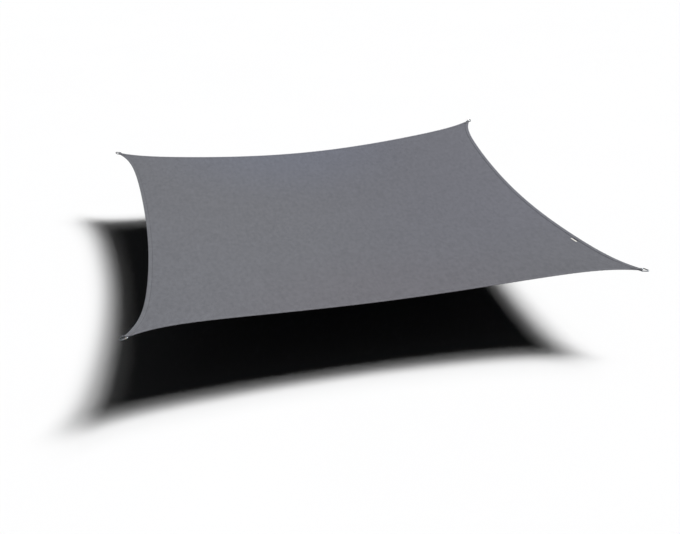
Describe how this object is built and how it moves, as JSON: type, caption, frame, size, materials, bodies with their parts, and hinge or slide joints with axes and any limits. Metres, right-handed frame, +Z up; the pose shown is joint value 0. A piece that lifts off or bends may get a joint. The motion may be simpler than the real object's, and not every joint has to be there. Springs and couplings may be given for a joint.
{
  "type": "shade sail",
  "caption": "Square shade sail of grey knitted cloth with inward-curved hemmed edges and a steel ring on a webbing loop at each corner, pulled taut and level.",
  "frame": {"origin": "middle of the square of the four corner points, at their height; the sail hangs below it by its four rings", "axes": "+Z up, -Y towards the sail's front edge, +X towards its right edge, which carries the small tag"},
  "size_m": [3.6606, 3.6616, 0.1804],
  "materials": {
    "sail_cloth": "matt grey knitted cloth",
    "webbing": "grey woven webbing",
    "ring_steel": "polished stainless steel wire, welded",
    "tag_tape": "plain woven tape, dark half and pale half"
  },
  "bodies": {
    "root": {"sail_cloth": "sail_cloth", "webbing_loop_front_left": "webbing", "webbing_loop_front_right": "webbing", "webbing_loop_back_right": "webbing", "webbing_loop_back_left": "webbing", "corner_ring_front_left": "ring_steel", "corner_ring_front_right": "ring_steel", "corner_ring_back_right": "ring_steel", "corner_ring_back_left": "ring_steel", "hem_label": "tag_tape"}
  },
  "joints": []
}
